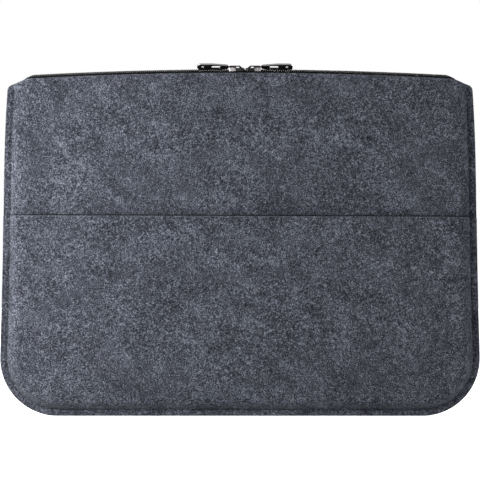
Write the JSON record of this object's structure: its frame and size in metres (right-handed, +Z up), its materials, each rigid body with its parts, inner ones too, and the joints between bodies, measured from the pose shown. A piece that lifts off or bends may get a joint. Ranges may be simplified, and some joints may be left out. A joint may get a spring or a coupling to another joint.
{
  "type": "laptop sleeve",
  "caption": "Upright felt sleeve for a slim laptop, with a slip pocket on the front and a coil zip with two sliders along the top.",
  "frame": {"origin": "middle of the bottom edge, halfway through the three layers of felt in the bottom seam", "axes": "+X along the zip, to the right seen from the front; +Y towards the back; +Z up towards the zip"},
  "size_m": [0.3744, 0.0276, 0.2755],
  "materials": {
    "felt": "dense needled wool-blend felt, mottled anthracite",
    "felt_thread": "fine matt sewing thread",
    "zip_tape": "woven polyester tape, black",
    "zip_coil": "nylon monofilament coil, black",
    "zip_cord": "filler cord, black",
    "zip_thread": "polyester thread, black",
    "slider_metal": "gunmetal-coloured coating on cast zinc",
    "pull_metal": "black semi-gloss coating on pressed metal"
  },
  "bodies": {
    "sleeve": {"back_panel": "felt", "front_panel": "felt", "pocket_panel": "felt", "edge_seam_needle_thread": "felt_thread", "edge_seam_bobbin_thread": "felt_thread", "zip_tape_front": "zip_tape", "zip_coil_front": "zip_coil", "zip_coil_cord_front": "zip_cord", "zip_coil_stitching_front": "zip_thread", "zip_seam_thread_front": "felt_thread", "zip_tape_back": "zip_tape", "zip_coil_back": "zip_coil", "zip_coil_cord_back": "zip_cord", "zip_coil_stitching_back": "zip_thread", "zip_seam_thread_back": "felt_thread", "zip_end_tack_left": "zip_thread", "zip_end_tack_right": "zip_thread"},
    "left_slider": {"slider_left": "slider_metal"},
    "right_slider": {"slider_right": "slider_metal"},
    "left_pull": {"pull_left": "pull_metal"},
    "right_pull": {"pull_right": "pull_metal"}
  },
  "joints": [
    {"name": "left_slider_travel", "type": "hinge", "parent": "sleeve", "child": "left_slider", "pos_m": [0, 0.0015, -2.7303], "axis": [0, -1, 0], "range_deg": [0, 2.97]},
    {"name": "right_slider_travel", "type": "hinge", "parent": "sleeve", "child": "right_slider", "pos_m": [0, 0.0015, -2.7303], "axis": [0, 1, 0], "range_deg": [0, 2.82]},
    {"name": "left_pull_flip", "type": "hinge", "parent": "left_slider", "child": "left_pull", "pos_m": [-0.00315, 0.0015, 0.2722], "axis": [0, 1, 0], "range_deg": [0, 90]},
    {"name": "right_pull_flip", "type": "hinge", "parent": "right_slider", "child": "right_pull", "pos_m": [0.01096, 0.0015, 0.27218], "axis": [0, -1, 0], "range_deg": [0, 90]}
  ]
}
